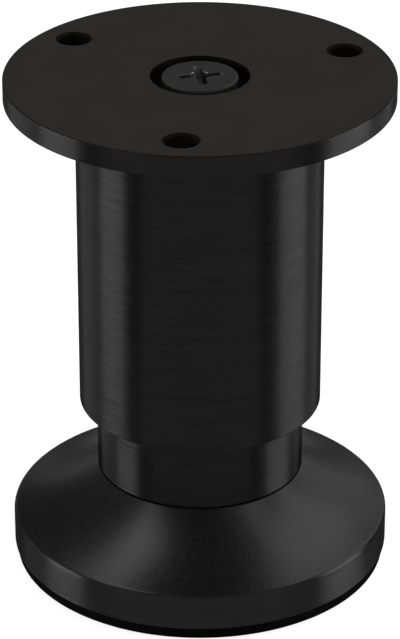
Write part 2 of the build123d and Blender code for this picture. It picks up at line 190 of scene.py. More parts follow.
class LegFinishes(bpy.types.PropertyGroup):
    """Colours of the leg's finishes and the scale of their marks."""
    plate_coat: colour_property("Plate coat", "Satin black dip coat on the plate", "#292826")
    tube_coat: colour_property("Tube coat", "Satin black coat on the brushed tubes", "#1b1b1b")
    foot_coat: colour_property("Foot coat", "Satin black coat on the turned foot", "#2b2b2b")
    rim_coat: colour_property("Rim coat", "The same coat on the foot's upright rim", "#202020")
    glance: colour_property("Glancing gloss", "How much of a coat's gloss is left at a glancing angle", "#cccccc")
    outline_gloss: colour_property("Outline gloss", "How much of it is left along the outline", "#202020")
    plate_glance: colour_property("Plate's glancing gloss", "The same for the plate's face", "#acacac")
    plate_edge_coat: colour_property("Plate's edge coat", "Satin black dip coat on the plate's edge", "#1b1b1b")
    plate_edge_glance: colour_property("Edge's glancing gloss", "The same for the plate's edge", "#d0d0d0")
    rim_glance: colour_property("Rim's glancing gloss", "The same for the foot's rim", "#b4b4b4")
    # Darker than the plate's coat, as painted shade inside the holes and the recess
    cut_coat: colour_property("Cut faces' coat", "The same dip coat in the holes and the recess", "#0f0f0e")
    black_zinc: colour_property("Black zinc", "Passivated zinc on the plate's screw", "#2b2b2b")
    rubbed_zinc: colour_property("Rubbed zinc", "The same where the driver has rubbed it", "#505050")
    rubber: colour_property("Rubber", "Moulded rubber of the floor pad", "#070707")
    nylon: colour_property("Nylon", "Glass-filled nylon of bush and rings", "#1b1b1c")
    zinc: colour_property("Bright zinc", "Zinc plate on the hidden steel", "#b9bcbe")
    bronze: colour_property("Bronze", "Sintered bronze of the pivot's bush", "#a8763a")
    brush_spacing: measure("Brush spacing", "From one brushed line to the next", 0.4)
    brush_length: measure("Brush length", "Length of one brushed line", 10.0)


class LegStageSettings(bpy.types.PropertyGroup):
    """Camera and light."""
    lens: FloatProperty(name="Lens", description="Focal length of the camera", default=186.27, min=1.0,
                        subtype="DISTANCE_CAMERA", unit="CAMERA")
    pitch: FloatProperty(name="Pitch", description="How far the camera looks down", default=math.radians(27.22),
                         subtype="ANGLE", unit="ROTATION")
    camera_distance: measure("Camera distance", "From the leg's axis, level with the floor", 616.96)
    camera_height: measure("Camera height", "Above the floor", 371.28)
    backdrop: colour_property("Backdrop", "Colour of floor and backdrop", "#ffffff")


SETTINGS = {
    "leg_plate": LegPlateSizes,
    "leg_screw": LegScrewSizes,
    "leg_tubes": LegTubeSizes,
    "leg_foot": LegFootSizes,
    "leg_spindle": LegSpindleSizes,
    "leg_finishes": LegFinishes,
    "leg_stage": LegStageSettings,
}


# Surfaces

def rounded(outline, steps=6):
    """A closed section with its corners rounded.

    Each row of the outline is a corner: radius from the axis, height, and the corner's own radius. A corner becomes an
    arc that touches both of its sides: the arc's centre lies on the bisector, one corner radius over the sine of half
    the corner's angle away, and the points between its ends are the two end arms weighted by sines.
    """
    corner = np.asarray(outline, float)
    place = corner[:, :2]
    size = corner[:, 2:]
    back = np.roll(place, 1, axis=0) - place
    ahead = np.roll(place, -1, axis=0) - place
    back /= np.linalg.norm(back, axis=1, keepdims=True)
    ahead /= np.linalg.norm(ahead, axis=1, keepdims=True)
    half = np.arccos(np.clip((back * ahead).sum(axis=1, keepdims=True), -1, 1)) / 2
    half = np.minimum(half, math.pi / 2 - TINY_ANGLE)
    bisector = back + ahead
    bisector /= np.maximum(np.linalg.norm(bisector, axis=1, keepdims=True), TINY_LENGTH)
    centre = place + bisector * size / np.sin(half)
    arm_in = place + back * size / np.tan(half) - centre
    arm_out = place + ahead * size / np.tan(half) - centre
    turn = math.pi - 2 * half
    share = np.linspace(0, 1, steps + 1)
    points = centre[:, None] + (
        (np.sin((1 - share) * turn) / np.sin(turn))[..., None] * arm_in[:, None]
        + (np.sin(share * turn) / np.sin(turn))[..., None] * arm_out[:, None]
    )
    points = points.reshape(-1, 2)
    moved = np.linalg.norm(points - np.roll(points, 1, axis=0), axis=1) > MERGE_DISTANCE
    return points[moved]


def round_axis(radius, height, angle, centre=(0.0, 0.0)):
    """Points at (x, y, z) = (radius cos angle, radius sin angle, height) from a centre, for arrays that broadcast."""
    radius, height, angle = np.broadcast_arrays(radius, height, angle)
    return np.stack((centre[0] + radius * np.cos(angle), centre[1] + radius * np.sin(angle), height), axis=-1)


def column_angles(columns, start=0.0):
    """Equal turns from start all the way round, with the last back at the first."""
    return start + np.linspace(0, FULL_TURN, columns + 1)


def carried(section, angles, centre=(0.0, 0.0)):
    """A section of radii and heights carried round an axis: each of its points draws a circle."""
    return round_axis(section[:, :1], section[:, 1:], angles[None], centre)


def turned(outline):
    """A closed section with its corners rounded, carried all the way round the Z axis."""
    section = rounded(outline)
    return carried(np.vstack((section, section[:1])), column_angles(COLUMNS))


def ring(inner, outer, bottom, top, *roundings):
    """The outline of a ring: its four corners, from the lower inner one outwards and up, with their roundings."""
    corners = ((inner, bottom), (outer, bottom), (outer, top), (inner, top))
    return [(*corner, rounding) for corner, rounding in zip(corners, roundings)]


def thread_radius(height, angle, radius, pitch):
    """Radius of a right-hand metric thread at a height and an angle.

    The height in pitches less the angle in turns says how far a point is from a crest. The crest is flat for a
    sixteenth of a pitch to each side. Beyond it the flank falls by the way along the axis over the tangent of its lean,
    down to the thread's depth.
    """
    from_crest = np.abs((height / pitch - angle / FULL_TURN + 0.5) % 1.0 - 0.5)
    fall = (from_crest - CREST_HALF) / math.tan(FLANK_LEAN)
    return radius - np.clip(fall, 0, THREAD_DEPTH) * pitch


def mesh_of(name, grids, materials, finish_of):
    """One mesh from grids of points, each of rows by columns by (x, y, z).

    Neighbouring points span a face. Edges that meet are merged, which also closes seams and poles. The UV map has the
    turn about the axis as u and the share of the way along the section as v. Where a piece has more than one finish,
    finish_of takes the faces' normals and centres and gives each face's place in the list of materials.
    """
    points, faces, shares, count = [], [], [], 0
    for grid in grids:
        rows, columns = grid.shape[:2]
        index = count + np.arange(rows * columns).reshape(rows, columns)
        corners = index[:-1, :-1], index[:-1, 1:], index[1:, 1:], index[1:, :-1]
        faces.append(np.stack(corners, axis=-1).reshape(-1, 4))
        v, u = np.meshgrid(np.linspace(0, 1, rows), np.linspace(0, 1, columns), indexing="ij")
        shares.append(np.stack((u, v), axis=-1).reshape(-1, 2))
        points.append(grid.reshape(-1, 3))
        count += rows * columns
    points, faces, shares = np.vstack(points), np.vstack(faces), np.vstack(shares)
    mesh = bpy.data.meshes.new(name)
    mesh.vertices.add(len(points))
    mesh.vertices.foreach_set("co", points.astype(np.float32).ravel())
    mesh.loops.add(faces.size)
    mesh.loops.foreach_set("vertex_index", faces.astype(np.int32).ravel())
    mesh.polygons.add(len(faces))
    mesh.polygons.foreach_set("loop_start", np.arange(0, faces.size, 4, dtype=np.int32))
    uv = mesh.uv_layers.new(name="turn")
    uv.data.foreach_set("uv", shares[faces.ravel()].astype(np.float32).ravel())
    mesh.update(calc_edges=True)
    work = bmesh.new()
    work.from_mesh(mesh)
    bmesh.ops.remove_doubles(work, verts=work.verts, dist=MERGE_DISTANCE)
    bmesh.ops.dissolve_degenerate(work, edges=work.edges, dist=MERGE_DISTANCE / 4)
    bmesh.ops.recalc_face_normals(work, faces=work.faces)
    work.to_mesh(mesh)
    work.free()
    for material in materials:
        mesh.materials.append(material)
    if finish_of:
        normals, centres = np.empty((2, 3 * len(mesh.polygons)), dtype=np.float32)
        mesh.polygons.foreach_get("normal", normals)
        mesh.polygons.foreach_get("center", centres)
        chosen = finish_of(normals.reshape(-1, 3), centres.reshape(-1, 3))
        mesh.polygons.foreach_set("material_index", chosen.astype(np.int32))
    mesh.polygons.foreach_set("use_smooth", np.ones(len(mesh.polygons), dtype=bool))
    mesh.set_sharp_from_angle(angle=SHARP_ANGLE)
    return mesh


def upright_beyond(radius, normals, centres):
    """Whether each face stands upright and is further from the axis than a radius."""
    return (np.abs(normals[:, 2]) < UPRIGHT) & (np.hypot(centres[:, 0], centres[:, 1]) > radius)


def in_scene(name, data):
    """A new object of that name and data, in the scene."""
    made = bpy.data.objects.new(name, data)
    bpy.context.scene.collection.objects.link(made)
    return made


def add_piece(name, node, grids, *materials, finish_of=None):
    """Adds a piece made of grids, which rides on its node's body and stands for the node."""
    piece = in_scene(name, mesh_of(name, grids, materials, finish_of))
    piece.modifiers.new("even shading", "WEIGHTED_NORMAL").keep_sharp = True
    bodies = frame["record"]["behaviour"]["bodies"]
    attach(piece, next(body for body, members in bodies.items() if node in members))
    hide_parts(node)


def levels(node):
    """A node's outer radius, lowest height and highest height, in metres."""
    low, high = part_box(node)
    return high.x, low.z, high.z


# Materials

# Sizes of the marks that making leaves: spacing and length of lines round the axis, or the width of a grain
BLANKED_LINES = (0.3 * MM, 12 * MM)
LATHE_LINES = (0.3 * MM, 8 * MM)
SCREW_LINES = (0.15 * MM, 6 * MM)
ZINC_LINES = (0.2 * MM, 10 * MM)
CASTING_GRAIN = (1.3 * MM, 0.32 * MM)
COAT_CLOUD = 9 * MM
CUT_CLOUD = 1 * MM
ORANGE_PEEL = 0.45 * MM
RUBBED_SPOT = 0.5 * MM
MOULD_TEXTURE = 0.25 * MM
FIBRE = (0.8 * MM, 2.5 * MM)
ZINC_BLOOM = 3 * MM
BRONZE_PORE = 0.3 * MM

# Radii at which those lengths are true
FLANK_RADIUS = 30 * MM
SCREW_RADIUS = 6 * MM
STEEL_RADIUS = 8 * MM


def add_node(tree, kind, inputs=None, **settings):
    """Adds a node, sets its settings, and fills its inputs with values or links."""
    made = tree.nodes.new(kind)
    for name, value in settings.items():
        setattr(made, name, value)
    for socket, value in (inputs or {}).items():
        if isinstance(value, bpy.types.NodeSocket):
            tree.links.new(value, made.inputs[socket])
        else:
            made.inputs[socket].default_value = value
    return made


def empty_tree(owner):
    """The node tree of a material or a world, with nothing in it."""
    owner.use_nodes = True
    owner.node_tree.nodes.clear()
    return owner.node_tree


def new_material(name, **inputs):
    """A material with one Principled shader, whose uniform values sit on its own sockets."""
    material = bpy.data.materials.new(name)
    tree = empty_tree(material)
    shader = add_node(tree, "ShaderNodeBsdfPrincipled", {k.replace("_", " "): v for k, v in inputs.items()})
    add_node(tree, "ShaderNodeOutputMaterial", {"Surface": shader.outputs["BSDF"]})
    return material, tree, shader


def shared(make):
    """The material that a function makes from the leg's finishes, made once for all the pieces that have it."""
    return bpy.data.materials.get(make.__name__) or make(bpy.context.scene.leg_finishes)


def rgba(colour):
    """A colour with full opacity."""
    return (*colour, 1.0)


def turned_place(tree):
    """Coordinates on a turned surface: the direction round the axis, and the way along the section.

    The way along the section is the radius less the height, which grows along a cylinder, a flank and a flat face.
    """
    place = add_node(tree, "ShaderNodeTexCoord").outputs["Object"]
    flat = add_node(tree, "ShaderNodeVectorMath", {0: place, 1: (1, 1, 0)}, operation="MULTIPLY").outputs[0]
    radius = add_node(tree, "ShaderNodeVectorMath", {0: flat}, operation="LENGTH").outputs["Value"]
    round_way = add_node(tree, "ShaderNodeVectorMath", {0: flat}, operation="NORMALIZE").outputs[0]
    height = add_node(tree, "ShaderNodeSeparateXYZ", {0: place}).outputs["Z"]
    along = add_node(tree, "ShaderNodeMath", {0: radius, 1: height}, operation="SUBTRACT").outputs[0]
    return round_way, along


def marks(tree, place, scale, detail):
    """Noise at a place, with its usual range of a third to two thirds drawn out to 0 to 1, so that marks stand out."""
    noise = add_node(tree, "ShaderNodeTexNoise", {"Vector": place, "Scale": scale, "Detail": detail, "Roughness": 0.6})
    return add_node(tree, "ShaderNodeMapRange", {"Value": noise.outputs["Fac"], "From Min": 1 / 3,
                                                 "From Max": 2 / 3}).outputs["Result"]


def turned_lines(tree, radius, spacing, length):
    """Marks drawn out into lines round the axis, spacing apart and length long on a surface of that radius."""
    round_way, along = turned_place(tree)
    stretched = add_node(tree, "ShaderNodeVectorMath", {0: round_way, "Scale": radius / length}, operation="SCALE")
    across = add_node(tree, "ShaderNodeMath", {0: along, 1: 1 / spacing}, operation="MULTIPLY")
    offset = add_node(tree, "ShaderNodeCombineXYZ", {"Z": across.outputs[0]})
    place = add_node(tree, "ShaderNodeVectorMath", {0: stretched.outputs[0], 1: offset.outputs[0]}, operation="ADD")
    return marks(tree, place.outputs[0], scale=1.0, detail=3.0)


def grain(tree, size):
    """Even marks of that size."""
    return marks(tree, add_node(tree, "ShaderNodeTexCoord").outputs["Object"], scale=1 / size, detail=2.0)


def dress(tree, shader, factor, colour, shares, roughness, depth, texture=None, under=None):
    """Lets marks, a factor from 0 to 1, vary a shader's colour, its roughness and its surface.

    The colour lies between two shares of itself, and the roughness between two values. The marks, or another texture
    instead, stand out by a depth in metres, on top of a bump that may lie under them.
    """
    tint = add_node(tree, "ShaderNodeMix", {0: factor, 6: rgba(c * shares[0] for c in colour),
                                            7: rgba(c * shares[1] for c in colour)}, data_type="RGBA")
    rough = add_node(tree, "ShaderNodeMapRange", {"Value": factor, "To Min": roughness[0], "To Max": roughness[1]})
    surface = {"Height": factor if texture is None else texture, "Distance": depth, "Strength": 1.0}
    if under is not None:
        surface["Normal"] = under
    bump = add_node(tree, "ShaderNodeBump", surface)
    for socket, value in (("Base Color", tint.outputs[2]), ("Roughness", rough.outputs["Result"]),
                          ("Normal", bump.outputs["Normal"])):
        tree.links.new(value, shader.inputs[socket])


def matt_outline(tree, shader, glance, start=0.72, end=0.95):
    """Lets a coat swallow its gloss at a glancing angle, as a matt coat does, which keeps an outline dark.

    Start and end are how far a surface is turned away, from 0 to 1, where the gloss begins to go and is gone.
    """
    outline_gloss = bpy.context.scene.leg_finishes.outline_gloss
    facing = add_node(tree, "ShaderNodeLayerWeight", {"Blend": 0.5}).outputs["Facing"]
    swallowed = add_node(tree, "ShaderNodeMapRange", {"Value": facing, "From Min": start, "From Max": end})
    left = add_node(tree, "ShaderNodeMix", {0: swallowed.outputs["Result"], 6: rgba(glance), 7: rgba(outline_gloss)},
                    data_type="RGBA")
    tree.links.new(left.outputs[2], shader.inputs["Specular Tint"])


def coated_steel_edge(name, radius, colour, glance, spacing, length):
    """Satin black coat over steel with lines round the axis, from a lathe, a punch or an abrasive belt.

    The coat is so thin that the lines show through. They draw each highlight out along the axis and break it into fine
    streaks. Belt lines are about a tenth of a millimetre apart, and are drawn three to four times as coarse so that a
    picture of the whole leg shows them.
    """
    material, tree, shader = new_material(name, Metallic=0.8, Specular_IOR_Level=0.0, Anisotropic=1.0,
                                          Anisotropic_Rotation=0.25)
    tangent = add_node(tree, "ShaderNodeTangent", direction_type="UV_MAP", uv_map="turn")
    tree.links.new(tangent.outputs["Tangent"], shader.inputs["Tangent"])
    matt_outline(tree, shader, glance)
    lines = turned_lines(tree, radius, spacing, length)
    dress(tree, shader, lines, colour, (0.76, 1.24), (0.35, 0.43), 0.004 * MM)
    return material


def dip_coated_steel_face(finishes):
    """Cathodic dip coat, satin black, on blanked steel sheet.

    An electric current lays the paint down as an even film with a faint orange peel, and the face stays a soft, even
    dark grey.
    """
    material, tree, shader = new_material("dip_coated_steel_face", Metallic=0.2, Specular_IOR_Level=0.0)
    matt_outline(tree, shader, finishes.plate_glance, start=0.6, end=0.8)
    dress(tree, shader, grain(tree, COAT_CLOUD), finishes.plate_coat, (0.96, 1.04), (0.51, 0.55), 0.001 * MM,
          grain(tree, ORANGE_PEEL))
    return material


def dip_coat_painted_hole_shade(finishes):
    """The same dip coat in drilled holes and the recess, less rough than on the face, with a darker colour that is
    painted shade inside them.
    """
    material, tree, shader = new_material("dip_coat_painted_hole_shade", Metallic=0.2, Specular_IOR_Level=0.0,
                                          Specular_Tint=rgba(finishes.outline_gloss))
    dress(tree, shader, grain(tree, CUT_CLOUD), finishes.cut_coat, (0.9, 1.1), (0.36, 0.42), 0.001 * MM,
          grain(tree, ORANGE_PEEL))
    return material


def coated_turned_casting(finishes):
    """Satin black coat over a zinc casting, turned on a lathe.

    The turning leaves fine rings, and the coat over the casting's skin a short grain down the flank, which breaks up
    the edges of the highlights.
    """
    material, tree, shader = new_material("coated_turned_casting", Metallic=0.85, Specular_IOR_Level=0.0)
    matt_outline(tree, shader, finishes.glance, start=0.62, end=0.95)
    rings = add_node(tree, "ShaderNodeBump", {"Height": turned_lines(tree, FLANK_RADIUS, *LATHE_LINES),
                                              "Distance": 0.001 * MM, "Strength": 1.0}).outputs["Normal"]
    dress(tree, shader, turned_lines(tree, FLANK_RADIUS, *CASTING_GRAIN), finishes.foot_coat, (0.86, 1.14),
          (0.26, 0.32), 0.004 * MM, under=rings)
    return material


def black_zinc(finishes):
    """Zinc plate passivated black, on a cold-headed screw: an even dark grey with a soft light along its edge."""
    material, tree, shader = new_material("black_zinc", Metallic=0.2, Specular_IOR_Level=0.0)
    matt_outline(tree, shader, finishes.glance, start=0.6, end=0.8)
    dress(tree, shader, turned_lines(tree, SCREW_RADIUS, *SCREW_LINES), finishes.black_zinc, (0.92, 1.08),
          (0.46, 0.52), 0.0008 * MM)
    return material


def rubbed_zinc(finishes):
    """Black zinc in the drive that the driver has rubbed thin: greyer, so that ribs and slopes catch the light."""
    material, tree, shader = new_material("rubbed_zinc", Metallic=0.8, Specular_IOR_Level=0.2)
    dress(tree, shader, grain(tree, RUBBED_SPOT), finishes.rubbed_zinc, (0.6, 1.2), (0.3, 0.4), 0.002 * MM)
    return material


def moulded_rubber(finishes):
    """Black rubber, moulded: matt, with the fine texture of an eroded mould, so that it shows as a plain dark band."""
    material, tree, shader = new_material("moulded_rubber", Specular_IOR_Level=0.0)
    dress(tree, shader, grain(tree, MOULD_TEXTURE), finishes.rubber, (0.85, 1.15), (0.82, 0.88), 0.005 * MM)
    return material


def glass_filled_nylon(finishes):
    """Nylon with short glass fibres, injection moulded: dull black with short paler marks just under the skin."""
    material, tree, shader = new_material("glass_filled_nylon", Specular_IOR_Level=0.3)
    place = add_node(tree, "ShaderNodeTexCoord").outputs["Object"]
    across, along = 1 / FIBRE[0], 1 / FIBRE[1]
    drawn = add_node(tree, "ShaderNodeMapping", {"Vector": place, "Scale": (across, along, across)})
    fibres = marks(tree, drawn.outputs[0], scale=1.0, detail=4.0)
    dress(tree, shader, fibres, finishes.nylon, (0.85, 1.25), (0.53, 0.6), 0.003 * MM)
    return material


def bright_zinc(finishes):
    """Bright zinc plate on machined steel: a cool metal with faint turning lines and an uneven bloom."""
    material, tree, shader = new_material("bright_zinc", Metallic=1.0)
    dress(tree, shader, grain(tree, ZINC_BLOOM), finishes.zinc, (0.92, 1.0), (0.28, 0.38), 0.001 * MM,
          turned_lines(tree, STEEL_RADIUS, *ZINC_LINES))
    return material


def sintered_bronze(finishes):
    """Bronze powder, pressed, sintered and oiled: a warm dull metal with small dark pores."""
    material, tree, shader = new_material("sintered_bronze", Metallic=1.0)
    place = add_node(tree, "ShaderNodeTexCoord").outputs["Object"]
    pores = add_node(tree, "ShaderNodeTexVoronoi", {"Vector": place, "Scale": 1 / BRONZE_PORE}).outputs["Distance"]
    dress(tree, shader, pores, finishes.bronze, (0.45, 1.0), (0.55, 0.38), 0.01 * MM)
    return material


# Pieces

HOLE_COUNT = 3
BLOCK_HALF_COLUMNS = 8
BLOCK_HALF_WIDTH = 6.6 * MM
BLOCK_ROWS = 17
RIM_ROWS = 5
ARM_COLUMNS = 20
TIP_COLUMNS = 20
RECESS_ROWS = 15
RIB_COLUMNS = 5
BAY_COLUMNS = 33
ROWS_PER_PITCH = 16
CUT_MARGIN = 0.01 * MM

# Edges that are only eased, and the ends of threads
EASED_EDGE = 0.12 * MM
RECESS_LIP = 0.1 * MM
PIVOT_LIP = 0.35 * MM
SOLE_EDGE = 0.4 * MM
PAD_EDGE = 0.2 * MM
M8_TIP_BEVEL = 0.8 * MM
SPINDLE_FOOT_BEVEL = 0.5 * MM
RING_GROOVE_BEVEL = 0.2 * MM

# The drilled bottom of the pivot screw's socket: its radius as a share of the flats', and its point's depth
DRILL_SHARE = 0.8
DRILL_POINT = 0.9 * MM


def hole_blocks(hole_circle, start):
    """For each hole, its centre, and the border of the block of polar grid round it with each point's bearing."""
    step = FULL_TURN / COLUMNS
    outward = np.linspace(hole_circle - BLOCK_HALF_WIDTH, hole_circle + BLOCK_HALF_WIDTH, BLOCK_ROWS)
    across = np.arange(-BLOCK_HALF_COLUMNS, BLOCK_HALF_COLUMNS + 1) * step
    radius = np.concatenate((np.full(len(across), outward[0]), outward[1:], np.full(len(across) - 1, outward[-1]),
                             outward[-2::-1]))
    turn = np.concatenate((across, np.full(len(outward) - 1, across[-1]), across[-2::-1],
                           np.full(len(outward) - 1, across[0])))
    blocks = []
    for middle in start + np.arange(HOLE_COUNT) * FULL_TURN / HOLE_COUNT:
        centre = (hole_circle * math.cos(middle), hole_circle * math.sin(middle))
        border = round_axis(radius, 0.0, turn + middle)
        bearing = np.unwrap(np.arctan2(border[:, 1] - centre[1], border[:, 0] - centre[0]))
        blocks.append((centre, border, bearing))
    return outward, blocks


def face_with_holes(inner, outer, height, hole_radius, hole_circle, start):
    """A flat ring between two radii with round holes in it.

    The ring is a polar grid with a block left out round each hole. From the block's border each point runs straight
    to the hole's rim, which it meets at its own bearing from the hole's centre.
    """
    outward, blocks = hole_blocks(hole_circle, start)
    angles = column_angles(COLUMNS, start)
    grids = [round_axis(np.array([[inner], [outward[0]]]), height, angles[None]),
             round_axis(np.array([[outward[-1]], [outer]]), height, angles[None])]
    per_hole = COLUMNS // HOLE_COUNT
    for hole, (centre, border, bearing) in enumerate(blocks):
        clear = angles[hole * per_hole + BLOCK_HALF_COLUMNS:(hole + 1) * per_hole - BLOCK_HALF_COLUMNS + 1]
        grids.append(round_axis(outward[:, None], height, clear[None]))
        rim = round_axis(hole_radius, height, bearing, centre)
        share = np.linspace(0, 1, RIM_ROWS)[:, None, None]
        grids.append((border + (0, 0, height)) * (1 - share) + rim * share)
    return grids


class LEG_OT_mounting_plate(bpy.types.Operator):
    """Builds the mounting plate with its three countersunk holes and its recess"""
    bl_idname = "leg.mounting_plate"
    bl_label = "Mounting plate"

    def execute(self, context):
        sizes = context.scene.leg_plate
        radius, bottom, top = levels("mounting_plate")
        edge, fine = sizes.edge_rounding, EASED_EDGE
        face_radius = radius - 2 * edge
        hole_radius = sizes.hole_diameter / 2
        rim_radius = hole_radius + sizes.hole_bevel
        sink_radius = sizes.countersink_diameter / 2
        sink_top = bottom + sink_radius - hole_radius
        hole_circle = radius - sizes.hole_edge_distance
        recess_radius = sizes.recess_diameter / 2
        floor = top - sizes.recess_depth
        bore = sizes.screw_hole_diameter / 2
        angles = column_angles(COLUMNS, sizes.hole_turn)
        rim = rounded([(face_radius, top, 0), (radius, top, edge), (radius, bottom, edge), (face_radius, bottom, 0)])
        recess = rounded([(recess_radius + 2 * fine, top, 0), (recess_radius, top, fine), (recess_radius, floor, fine),
                          (bore, floor, fine), (bore, bottom, fine), (bore + 2 * fine, bottom, 0)])
        wall = rounded([(rim_radius + fine, top, 0), (rim_radius, top, fine / 2),
                        (hole_radius, top - sizes.hole_bevel, fine), (hole_radius, sink_top, fine),
                        (sink_radius, bottom, fine / 2), (sink_radius + fine, bottom, 0)])
        grids = [carried(rim, angles), carried(recess, angles)]
        for inner, height, rim_edge in ((recess_radius, top, rim_radius), (bore, bottom, sink_radius)):
            grids += face_with_holes(inner + 2 * fine, face_radius, height, rim_edge + fine, hole_circle,
                                     sizes.hole_turn)
        for centre, border, bearing in hole_blocks(hole_circle, sizes.hole_turn)[1]:
            grids.append(carried(wall, bearing, centre))
        finishes = context.scene.leg_finishes
        edge_finish = coated_steel_edge("dip_coated_steel_edge", radius, finishes.plate_edge_coat,
                                        finishes.plate_edge_glance, *BLANKED_LINES)

        def finish_of(normals, centres):
            """The edge's finish at the edge, the darker coat of painted shade in holes and recess, else the plate's."""
            # Faces between the plate's top and bottom, in the holes and the recess, take the painted shade
            painted_shade = np.abs(centres[:, 2] - (top + bottom) / 2) < (top - bottom) / 2 - CUT_MARGIN
            return np.where(upright_beyond(face_radius, normals, centres), 1, np.where(painted_shade, 2, 0))

        add_piece("plate", "mounting_plate", grids, shared(dip_coated_steel_face), edge_finish,
                  shared(dip_coat_painted_hole_shade), finish_of=finish_of)
        return {"FINISHED"}


def cross_outline(turn, sizes):
    """Radius of a cross with a round core, for turns from an arm's axis.

    Beside an arm's axis the arm's side is half its width over the sine of the turn from that axis, and no further
    out than the arm's tip. Ribs that keep the driver from slipping stand on both, with a height that is a cosine of
    the way along the arm's side or across its tip. Between the arms the core, whose radius is the arm's width, is
    further out.
    """
    half, reach = sizes.cross_arm_width / 2, sizes.cross_span / 2
    from_arm = np.maximum(np.abs((turn + math.pi / 4) % (math.pi / 2) - math.pi / 4), TINY_ANGLE)
    side_rib, tip_rib = (sizes.cross_rib_height * (1 - np.cos(FULL_TURN * way / sizes.cross_rib_spacing)) / 2
                         for way in (half / np.tan(from_arm), reach * np.sin(from_arm)))
    return np.maximum(np.minimum((half - side_rib) / np.sin(from_arm), reach - tip_rib), 2 * half)


def cross_turns(sizes):
    """Turns for columns at each corner of the cross and between them, evenly along the arms' sides, all round."""
    half = sizes.cross_arm_width / 2
    side_turn, core_turn = math.asin(2 * half / sizes.cross_span), math.asin(1 / 2)
    along = np.linspace(half / math.tan(side_turn), half / math.tan(core_turn), ARM_COLUMNS + 1)
    arm_side = np.arctan2(half, along)
    tip = np.linspace(-side_turn, side_turn, TIP_COLUMNS + 1)
    core = np.linspace(core_turn, math.pi / 2 - core_turn, TIP_COLUMNS + 1)
    quarter = np.concatenate((tip[:-1], arm_side[:-1], core[:-1], (math.pi / 2 - arm_side)[:0:-1]))
    turns = (np.arange(4)[:, None] * math.pi / 2 + quarter[None]).ravel()
    return np.append(turns, turns[0] + FULL_TURN)


def cross_recess(top, head_flat, angles, turns, sizes):
    """The head's flat top and the recess in it, as rows from the flat's edge to the recess's centre.

    The rows next to the outline ease its edge. The recess's floor is a cone that is level with the top at the arms'
    tips and ends in a small flat at its depth.
    """
    outline = cross_outline(turns, sizes)
    tip, lip = sizes.cross_tip_diameter / 2, RECESS_LIP
    slope = sizes.cross_depth / (sizes.cross_span / 2 - tip)
    share = np.linspace(1, 0, RECESS_ROWS)[:, None]
    reach = outline[None] * share
    depth = np.maximum((sizes.cross_span / 2 - np.maximum(reach, tip)) * slope, lip)
    radius = np.vstack((np.full_like(outline, head_flat), outline + 1.5 * lip, outline + lip, outline + lip / 3,
                        outline, reach))
    fall = np.vstack([np.full_like(outline, level) for level in (0, 0, 0, lip / 3, lip)] + [depth])
    return round_axis(radius, top - fall, angles[None])


class LEG_OT_plate_screw(bpy.types.Operator):
    """Builds the plate's screw, with its cross recess and its thread"""
    bl_idname = "leg.plate_screw"
    bl_label = "Plate screw"

    def execute(self, context):
        sizes = context.scene.leg_screw
        radius, end, top = levels("plate_screw")
        edge = sizes.head_rounding
        head_flat = radius - 2 * edge
        under = top - sizes.head_height
        shank = sizes.shank_diameter / 2
        turns = cross_turns(sizes)
        angles = turns + sizes.cross_turn
        head = rounded([(head_flat, top, 0), (radius, top, edge), (radius, under, EASED_EDGE), (shank, under, 0)])
        heights, thread = thread_rows(under, end, shank, PITCH_M8, angles, 0.0, M8_TIP_BEVEL)
        grids = [cross_recess(top, head_flat, angles, turns, sizes), carried(head, angles),
                 round_axis(thread, heights, angles[None]), flat_end(thread[-1], end, angles)]

        def finish_of(normals, centres):
            """The rubbed finish below the head's flat in the drive, else the plain one."""
            in_drive = np.hypot(centres[:, 0], centres[:, 1]) < sizes.cross_span / 2
            return in_drive & (normals[:, 2] > 0) & (centres[:, 2] < top - CUT_MARGIN)

        add_piece("cross_recess_screw", "plate_screw", grids, shared(black_zinc), shared(rubbed_zinc),
                  finish_of=finish_of)
        return {"FINISHED"}


def thread_rows(start, end, radius, pitch, angles, shank_end, tip_bevel):
    """Heights and radii of a thread from a level to a rod's end.

    The rod's end is bevelled at 45 degrees, so no point there is further out than the bevel's cone. At the start the
    radius stays within a cone too, by shank_end.
    """
    heights = np.linspace(start, end, int(abs(end - start) / pitch * ROWS_PER_PITCH) + 1)[:, None]
    thread = thread_radius(heights, angles[None], radius, pitch)
    from_end, from_start = np.abs(heights - end), np.abs(heights - start)
    thread = np.minimum(thread, radius - np.maximum(tip_bevel - from_end, 0))
    thread = np.minimum(thread, radius - np.maximum(shank_end - from_start, 0))
    if shank_end == 0:
        thread[0] = radius
    return heights, thread


def flat_end(edge_radius, level, angles):
    """A rod's flat end, from its edge to the axis."""
    return round_axis(edge_radius[None] * np.array([[1.0], [0.5], [0.0]]), level, angles[None])


class LEG_OT_tubes(bpy.types.Operator):
    """Builds the outer tube and the adjusting sleeve"""
    bl_idname = "leg.tubes"
    bl_label = "Tube and sleeve"

    def execute(self, context):
        sizes, finishes = context.scene.leg_tubes, context.scene.leg_finishes
        edge = sizes.end_rounding
        for name, node, wall in (("tube", "outer_tube", sizes.tube_wall),
                                 ("sleeve", "adjusting_sleeve", sizes.sleeve_wall)):
            radius, bottom, top = levels(node)
            outline = ring(radius - wall, radius, bottom, top, edge / 2, edge, edge / 4, edge / 4)
            brushed = coated_steel_edge(f"coated_brushed_{name}", radius, finishes.tube_coat, finishes.glance,
                                        finishes.brush_spacing, finishes.brush_length)
            add_piece(name, node, [turned(outline)], brushed)
        return {"FINISHED"}


